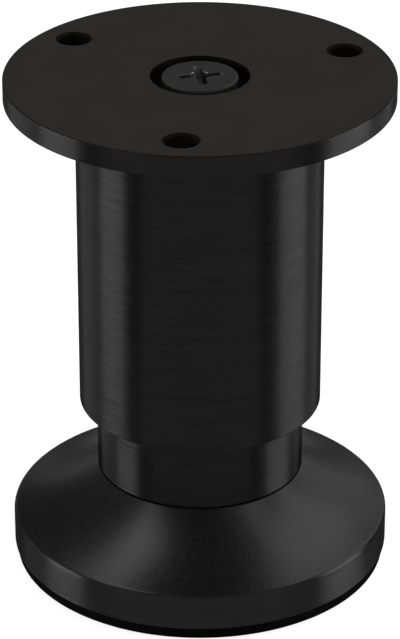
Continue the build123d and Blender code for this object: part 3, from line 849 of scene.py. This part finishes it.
class LEG_OT_guide_rings(bpy.types.Operator):
    """Builds the two plastic rings that guide the sleeve in the tube"""
    bl_idname = "leg.guide_rings"
    bl_label = "Guide rings"

    def execute(self, context):
        sizes = context.scene.leg_tubes
        nylon = shared(glass_filled_nylon)
        lead = sizes.ring_rounding
        sleeve, _, sleeve_top = levels("adjusting_sleeve")
        radius, bottom, top = levels("guide_ring")
        outline = ring(sleeve + sizes.ring_clearance, radius, bottom, top, lead, EASED_EDGE, EASED_EDGE, lead)
        add_piece("guide_collar", "guide_ring", [turned(outline)], nylon)
        radius, bottom, top = levels("glide_ring")
        inner = sleeve - sizes.sleeve_wall
        outline = [(sleeve, bottom, EASED_EDGE), (radius, bottom, lead), (radius, top, lead), (inner, top, EASED_EDGE),
                   (inner, sleeve_top, EASED_EDGE), (sleeve, sleeve_top, EASED_EDGE)]
        add_piece("glide_collar", "glide_ring", [turned(outline)], nylon)
        return {"FINISHED"}


def flank_points(neck, shoulder, sag, count=25):
    """Points down the flank from neck to shoulder, on the circle through both whose middle dips by sag.

    A circle over a chord of length c with a dip s has the radius (c squared / 4 + s squared) / (2 s). Its centre lies
    outside the flank, and equal turns about it give the points.
    """
    neck, shoulder = np.array(neck), np.array(shoulder)
    length = np.linalg.norm(shoulder - neck)
    along = (shoulder - neck) / length
    outward = np.array((-along[1], along[0]))
    bend = (length ** 2 / 4 + sag ** 2) / (2 * sag)
    centre = (neck + shoulder) / 2 + outward * (bend - sag)
    half = math.asin(length / 2 / bend)
    turn = np.linspace(-half, half, count)[:, None]
    return centre + bend * (np.sin(turn) * along - np.cos(turn) * outward)


def hollow_side(rows, rib_count, rib_thickness, notch, hub_bottom, bottom):
    """The hollow underside of the foot, as a height over radius and angle.

    Each row holds a radius, the height between ribs and the height of a rib's lower edge. Between ribs the surface is
    at the first height, and within half a rib's thickness of a rib's plane at the second. A rib's side stands at the
    arcsine of half its thickness over the radius. The first and last rows drop to the hub's end and the foot's.
    """
    radius, between, on_rib = rows[:, :1], rows[:, 1:2], rows[:, 2:]
    side = np.arcsin(rib_thickness / 2 / radius)
    sector = FULL_TURN / rib_count
    part_way = np.maximum(on_rib, notch)
    bay = np.linspace(0, 1, BAY_COLUMNS)[None]
    strips = []
    for rib in range(rib_count):
        before, after = rib * sector, (rib + 1) * sector
        strips += [round_axis(radius, on_rib, before + side * np.linspace(-1, 1, RIB_COLUMNS)[None]),
                   round_axis(radius, part_way, before + side),
                   round_axis(radius, between, before + side + (sector - 2 * side) * bay),
                   round_axis(radius, part_way, after - side)]
    strips.append(strips[0][:, :1])
    hollow = np.concatenate(strips, axis=1)
    drops = []
    for edge, part, end in ((hollow[0], rows[0, 2], hub_bottom), (hollow[-1], notch, bottom)):
        drops.append(np.stack((edge, np.column_stack((edge[:, :2], np.full(len(edge), part))),
                               np.column_stack((edge[:, :2], np.full(len(edge), end))))))
    return hollow, drops


class LEG_OT_foot(bpy.types.Operator):
    """Builds the turned foot, hollow below, with its hub and ribs"""
    bl_idname = "leg.foot"
    bl_label = "Foot"

    def execute(self, context):
        sizes = context.scene.leg_foot
        radius, bottom, top = levels("foot")
        sleeve = levels("adjusting_sleeve")[0]
        washer, seat = levels("thrust_washer")[:2]
        bore, hub = sizes.hub_bore / 2, sizes.hub_diameter / 2
        hub_bottom = bottom + sizes.hub_lift
        cavity = radius - sizes.wall
        shoulder = bottom + sizes.rim_height
        ceiling = seat - sizes.wall
        fall = (top - shoulder) / (radius - sleeve)
        cavity_shoulder = ceiling - fall * (cavity - sleeve)
        collar = cavity - sizes.collar_wall - sizes.collar_clearance
        collar_ceiling = ceiling - fall * (collar - sleeve)
        notch = levels("floor_pad")[2] + sizes.collar_clearance
        flank = flank_points((sleeve, top), (radius, shoulder), sizes.flank_sag)
        outline = [(cavity, bottom, 0), (radius, bottom, sizes.edge_rounding),
                   (radius, shoulder, sizes.shoulder_rounding)]
        outline += [(r, z, 0) for r, z in flank[-3:0:-1]]
        outline += [(sleeve, top, EASED_EDGE), (washer, top, EASED_EDGE), (washer, seat, EASED_EDGE),
                    (bore, seat, EASED_EDGE), (bore, hub_bottom, 0)]
        section = rounded(outline)
        rows = np.array([(hub, ceiling, hub_bottom + sizes.rib_thickness),
                         (sizes.pad_opening / 2 + sizes.rib_setback, ceiling, bottom), (sleeve, ceiling, bottom),
                         (collar, collar_ceiling, bottom), (collar, collar_ceiling, notch),
                         (cavity, cavity_shoulder, notch)])
        hollow, drops = hollow_side(rows, sizes.rib_count, sizes.rib_thickness, notch, hub_bottom, bottom)
        bearing = np.unwrap(np.arctan2(hollow[-1, :, 1], hollow[-1, :, 0]))
        outside = carried(section, bearing)
        hub_end = np.stack((outside[-1], drops[0][-1]))
        finishes = context.scene.leg_finishes
        rim_finish = coated_steel_edge("coated_turned_rim", radius, finishes.rim_coat, finishes.rim_glance,
                                       *LATHE_LINES)
        rim = radius - sizes.shoulder_rounding
        add_piece("turned_foot", "foot", [outside, hollow, hub_end, *drops], shared(coated_turned_casting),
                  rim_finish, finish_of=lambda normals, centres: upright_beyond(rim, normals, centres))
        return {"FINISHED"}


class LEG_OT_floor_pad(bpy.types.Operator):
    """Builds the moulded floor pad with the collar that holds it and the grooves in its sole"""
    bl_idname = "leg.floor_pad"
    bl_label = "Floor pad"

    def execute(self, context):
        sizes = context.scene.leg_foot
        radius, bottom, top = levels("floor_pad")
        opening = sizes.pad_opening / 2
        collar = levels("foot")[0] - sizes.wall
        upper = bottom + sizes.pad_thickness
        soft, small = SOLE_EDGE, PAD_EDGE
        outline = [(opening, bottom, soft)]
        for groove in sizes.first_groove + np.arange(sizes.groove_count) * sizes.groove_step:
            near, far = groove - sizes.groove_width / 2, groove + sizes.groove_width / 2
            deep = bottom + sizes.groove_depth
            outline += [(near, bottom, small), (near, deep, small), (far, deep, small), (far, bottom, small)]
        outline += [(radius, bottom, soft), (radius, upper, small), (collar, upper, 0), (collar, top, small),
                    (collar - sizes.collar_wall, top, small), (collar - sizes.collar_wall, upper, small),
                    (opening, upper, soft)]
        add_piece("pad", "floor_pad", [turned(outline)], shared(moulded_rubber))
        return {"FINISHED"}


class LEG_OT_spindle(bpy.types.Operator):
    """Builds the threaded spindle, with its groove for the stop ring and its bore for the pivot's screw"""
    bl_idname = "leg.spindle"
    bl_label = "Spindle"

    def execute(self, context):
        sizes = context.scene.leg_spindle
        radius, bottom, top = levels("spindle")
        ring_bottom, ring_top = levels("stop_ring")[1:]
        groove = radius - sizes.ring_groove
        bore = sizes.pivot_thread / 2
        bore_top = bottom + sizes.bore_depth
        angles = column_angles(FINE_COLUMNS)
        low_heights, low_thread = thread_rows(ring_bottom, bottom, radius, PITCH_M16, angles, RING_GROOVE_BEVEL,
                                              SPINDLE_FOOT_BEVEL)
        high_heights, high_thread = thread_rows(ring_top, top, radius, PITCH_M16, angles, RING_GROOVE_BEVEL,
                                                sizes.end_bevel)
        around = np.ones((1, len(angles)))
        radii = np.vstack((around * bore, low_thread[::-1], around * groove, around * groove, high_thread))
        heights = np.vstack(([[bottom]], low_heights[::-1], [[ring_bottom]], [[ring_top]], high_heights))
        drilled = np.array([[bore, bottom], [bore, bore_top], [0, bore_top + bore / 2]])
        grids = [round_axis(radii, heights, angles[None]), flat_end(high_thread[-1], top, angles),
                 carried(drilled, angles)]
        add_piece("threaded_spindle", "spindle", grids, shared(bright_zinc))
        return {"FINISHED"}


class LEG_OT_pivot(bpy.types.Operator):
    """Builds the shoulder screw that holds the foot, its washer, its bush and the thrust washer"""
    bl_idname = "leg.pivot"
    bl_label = "Pivot"

    def execute(self, context):
        sizes = context.scene.leg_spindle
        radius, bottom, end = levels("pivot_screw")
        head_top = bottom + sizes.pivot_head_height
        shoulder_end = levels("spindle")[1]
        shoulder, thread_size = sizes.pivot_diameter / 2, sizes.pivot_thread / 2
        angles = column_angles(FINE_COLUMNS)
        around = np.ones_like(angles)
        flats = sizes.socket_across_flats / 2
        hexagon = flats / np.cos((angles + math.pi / 6) % (math.pi / 3) - math.pi / 6)
        floor = bottom + sizes.socket_depth
        socket = np.stack((around * 0, around * flats * DRILL_SHARE, hexagon, hexagon,
                           np.maximum(hexagon, flats + PIVOT_LIP)))
        socket_heights = np.array([[floor + DRILL_POINT], [floor], [floor], [bottom + PIVOT_LIP], [bottom]])
        head_flat = radius - 2 * EASED_EDGE - PIVOT_LIP
        head = rounded([(head_flat, bottom, 0), (radius, bottom, PIVOT_LIP), (radius, head_top, EASED_EDGE),
                        (shoulder, head_top, EASED_EDGE), (shoulder, shoulder_end, EASED_EDGE),
                        (thread_size, shoulder_end, 0)])
        heights, thread = thread_rows(shoulder_end, end, thread_size, PITCH_M8, angles, 0.0, M8_TIP_BEVEL)
        face = np.stack((socket[-1], around * head_flat))
        zinc = shared(bright_zinc)
        grids = [round_axis(socket, socket_heights, angles[None]), round_axis(face, bottom, angles[None]),
                 carried(head, angles), round_axis(thread, heights, angles[None]), flat_end(thread[-1], end, angles)]
        add_piece("shoulder_screw", "pivot_screw", grids, zinc)

        washer, low, high = levels("pivot_washer")
        outline = ring(shoulder, washer, low, high, EASED_EDGE, EASED_EDGE * 2, EASED_EDGE, EASED_EDGE)
        add_piece("flat_washer", "pivot_washer", [turned(outline)], zinc)
        flange, low, high = levels("pivot_bush")
        bore = shoulder + sizes.pivot_play
        outer, step = bore + sizes.bush_wall, low + sizes.bush_flange
        outline = [(bore, low, EASED_EDGE * 2), (flange, low, EASED_EDGE * 2), (flange, step, EASED_EDGE),
                   (outer, step, 0), (outer, high, EASED_EDGE), (bore, high, EASED_EDGE)]
        add_piece("bronze_bush", "pivot_bush", [turned(outline)], shared(sintered_bronze))
        disc, low, high = levels("thrust_washer")
        outline = ring(bore, disc, low, high, *[EASED_EDGE] * 4)
        add_piece("thrust_disc", "thrust_washer", [turned(outline)], shared(glass_filled_nylon))
        return {"FINISHED"}


class LEG_OT_carried_nodes(bpy.types.Operator):
    """Gives the inner pieces, whose shapes are right as they are, their finishes"""
    bl_idname = "leg.carried_nodes"
    bl_label = "Inner pieces"

    def execute(self, context):
        finish_of_slot = {"zinc_steel": shared(bright_zinc), "black_nylon": shared(glass_filled_nylon)}
        slots = {part["node"]: part["material_slot"] for part in frame["record"]["subparts"]}
        for name, node in frame["nodes"].items():
            if not node.hide_render:
                node.material_slots[0].material = finish_of_slot[slots[name]]
        return {"FINISHED"}


# Floor, light and camera

# Bearing to the right of the camera's side and elevation in degrees, width and height in metres, and level
SOFTBOXES = {
    "left_softbox": (-84, 8, 0.42, 0.34, 25.0),
    "right_softbox": (90.5, 8, 0.50, 0.34, 25.0),
    "low_left_softbox": (-113, 5, 0.32, 0.20, 7.5),
    "top_left_softbox": (-115, 67.5, 0.78, 0.30, 4.3),
    "high_right_softbox": (124, 47, 0.50, 0.60, 2.9),
    "back_right_softbox": (142, 19, 0.50, 0.36, 1.7),
    "edge_softbox": (70, 52, 0.34, 0.34, 2.6),
    "front_softbox": (0, 12, 2.10, 0.42, 2.2),
}
LAMP_DISTANCE = 0.9

# The same for the black cards: bearing in degrees, and width, height and distance from the axis in metres
FLAGS = {
    "left_flag": (-55, 0.020, 0.30, 0.11),
    "right_flag": (56, 0.020, 0.30, 0.11),
}

# Half the floor's side, the paper's own share of its colour, and its lift near the leg, which grows to 1 further out
FLOOR_HALF = 4.0
PAPER_SHARE = 0.3
PAPER_LIFT = 0.75
LIFT_NEAR = 0.3
LIFT_FAR = 0.8

# The backdrop that a gloss sees: white up to one height, fading to the ceiling's level at another, and the fill
WALL_TOP = math.sin(math.radians(6))
WALL_FADE = math.sin(math.radians(16))
CEILING_LEVEL = 0.06
FILL_LEVEL = 0.2

CLIP_NEAR, CLIP_FAR = 0.01, 50.0


def softbox(name, bearing, elevation, width, height, level):
    """A soft rectangle of light that faces the leg.

    Bearing is the turn from the camera's side, to the right, and elevation is above the floor. Level is the
    brightness of its face, where 1 is white, and its power is that level times pi times its area.
    """
    lamp = bpy.data.lights.new(name, "AREA")
    lamp.shape = "RECTANGLE"
    lamp.size, lamp.size_y = width, height
    lamp.energy = level * math.pi * width * height
    box = in_scene(name, lamp)
    toward = Vector((math.sin(bearing) * math.cos(elevation), -math.cos(bearing) * math.cos(elevation),
                     math.sin(elevation)))
    middle = (cad_box[0] + cad_box[1]) / 2
    box.location = middle + toward * LAMP_DISTANCE
    box.rotation_euler = toward.to_track_quat("Z", "Y").to_euler()
    box.visible_camera = False


def flag(name, bearing, width, height, distance):
    """A black card that stands on the floor and faces the leg, and draws a dark line beside a highlight.

    Only glosses show it, and it casts no shadow.
    """
    across = np.array((math.cos(bearing), math.sin(bearing), 0.0)) * width / 2
    foot = np.array((math.sin(bearing), -math.cos(bearing), 0.0)) * distance
    up = np.array((0.0, 0.0, height))
    mesh = bpy.data.meshes.new(name)
    mesh.from_pydata([foot - across, foot + across, foot + across + up, foot - across + up], [], [(3, 2, 1, 0)])
    mesh.materials.append(new_material(name, Specular_IOR_Level=0.0, Base_Color=rgba((0.0, 0.0, 0.0)))[0])
    card = in_scene(name, mesh)
    card.visible_camera = card.visible_diffuse = card.visible_shadow = False


def seen_rays(tree):
    """1 for rays from the camera, and for those that gloss or glass sends on, else 0."""
    path = add_node(tree, "ShaderNodeLightPath").outputs
    both = add_node(tree, "ShaderNodeMath", {0: path["Is Camera Ray"], 1: path["Is Glossy Ray"]}, operation="MAXIMUM")
    return add_node(tree, "ShaderNodeMath", {0: both.outputs[0], 1: path["Is Transmission Ray"]},
                    operation="MAXIMUM").outputs[0]


def backdrop_floor(colour):
    """White paper floor: matt, and lifted to white where the camera or a gloss sees it, but it keeps the shadow.

    The lift grows away from the leg, where fewer lamps reach the paper, so that it stays white to its edge.
    """
    material = bpy.data.materials.new("white_paper")
    tree = empty_tree(material)
    paper = add_node(tree, "ShaderNodeBsdfDiffuse", {"Color": rgba(c * PAPER_SHARE for c in colour)})
    place = add_node(tree, "ShaderNodeTexCoord").outputs["Object"]
    away = add_node(tree, "ShaderNodeVectorMath", {0: place}, operation="LENGTH").outputs["Value"]
    lifted = add_node(tree, "ShaderNodeMapRange", {"Value": away, "From Min": LIFT_NEAR, "From Max": LIFT_FAR,
                                                   "To Min": PAPER_LIFT, "To Max": 1.0}).outputs["Result"]
    strength = add_node(tree, "ShaderNodeMath", {0: seen_rays(tree), 1: lifted}, operation="MULTIPLY").outputs[0]
    lift = add_node(tree, "ShaderNodeEmission", {"Color": rgba(colour), "Strength": strength})
    both = add_node(tree, "ShaderNodeAddShader", {0: paper.outputs[0], 1: lift.outputs[0]})
    below = add_node(tree, "ShaderNodeNewGeometry").outputs["Backfacing"]
    clear = add_node(tree, "ShaderNodeBsdfTransparent")
    shown = add_node(tree, "ShaderNodeMixShader", {0: below, 1: both.outputs[0], 2: clear.outputs[0]})
    add_node(tree, "ShaderNodeOutputMaterial", {"Surface": shown.outputs[0]})
    return material


class LEG_OT_stage(bpy.types.Operator):
    """Builds the pale floor, the soft light and the camera"""
    bl_idname = "leg.stage"
    bl_label = "Stage"

    def execute(self, context):
        settings = context.scene.leg_stage
        scene = context.scene
        floor_mesh = bpy.data.meshes.new("floor")
        floor_mesh.from_pydata([(x * FLOOR_HALF, y * FLOOR_HALF, 0) for x, y in ((-1, -1), (1, -1), (1, 1), (-1, 1))],
                               [], [(0, 1, 2, 3)])
        floor_mesh.materials.append(backdrop_floor(settings.backdrop))
        floor = in_scene("floor", floor_mesh)

        for name, (bearing, elevation, width, height, level) in SOFTBOXES.items():
            softbox(name, math.radians(bearing), math.radians(elevation), width, height, level)
        for name, (bearing, width, height, distance) in FLAGS.items():
            flag(name, math.radians(bearing), width, height, distance)

        scene.world = bpy.data.worlds.new("studio")
        tree = empty_tree(scene.world)
        direction = add_node(tree, "ShaderNodeTexCoord").outputs["Generated"]
        upward = add_node(tree, "ShaderNodeSeparateXYZ", {0: direction}).outputs["Z"]
        wall = add_node(tree, "ShaderNodeMapRange", {"Value": upward, "From Min": WALL_TOP, "From Max": WALL_FADE,
                                                     "To Min": 1.0, "To Max": CEILING_LEVEL}).outputs["Result"]
        gloss = add_node(tree, "ShaderNodeMix", {"Factor": seen_rays(tree), "A": FILL_LEVEL, "B": wall},
                         data_type="FLOAT").outputs["Result"]
        camera_ray = add_node(tree, "ShaderNodeLightPath").outputs["Is Camera Ray"]
        level = add_node(tree, "ShaderNodeMath", {0: gloss, 1: camera_ray}, operation="MAXIMUM").outputs[0]
        light = add_node(tree, "ShaderNodeBackground", {"Color": rgba(settings.backdrop), "Strength": level})
        add_node(tree, "ShaderNodeOutputWorld", {"Surface": light.outputs[0]})

        lens = bpy.data.cameras.new("camera")
        lens.lens = settings.lens
        lens.clip_start, lens.clip_end = CLIP_NEAR, CLIP_FAR
        camera = in_scene("camera", lens)
        camera.location = (0.0, -settings.camera_distance, settings.camera_height)
        camera.rotation_euler = (math.pi / 2 - settings.pitch, 0.0, 0.0)
        scene.camera = camera
        scene.view_settings.view_transform = "Standard"
        return {"FINISHED"}


OPERATORS = (LEG_OT_stage, LEG_OT_mounting_plate, LEG_OT_plate_screw, LEG_OT_tubes, LEG_OT_guide_rings, LEG_OT_foot,
             LEG_OT_floor_pad, LEG_OT_spindle, LEG_OT_pivot, LEG_OT_carried_nodes)


class LEG_PT_panel(bpy.types.Panel):
    """Lists the leg's pieces and their sizes"""
    bl_idname = "LEG_PT_panel"
    bl_label = "Furniture leg"
    bl_space_type = "VIEW_3D"
    bl_region_type = "UI"
    bl_category = "Furniture leg"

    def draw(self, context):
        for operator in OPERATORS:
            self.layout.operator(operator.bl_idname)
        for group, kind in SETTINGS.items():
            box = self.layout.box()
            box.label(text=kind.__doc__)
            for size in kind.__annotations__:
                box.prop(getattr(context.scene, group), size)


def register():
    for kind in (*SETTINGS.values(), *OPERATORS, LEG_PT_panel):
        bpy.utils.register_class(kind)
    for name, kind in SETTINGS.items():
        setattr(bpy.types.Scene, name, PointerProperty(type=kind))


def unregister():
    for name in SETTINGS:
        delattr(bpy.types.Scene, name)
    for kind in reversed((*SETTINGS.values(), *OPERATORS, LEG_PT_panel)):
        bpy.utils.unregister_class(kind)


def main():
    register()
    for operator in OPERATORS:
        group, name = operator.bl_idname.split(".")
        getattr(getattr(bpy.ops, group), name)()


if __name__ == "__main__":
    main()
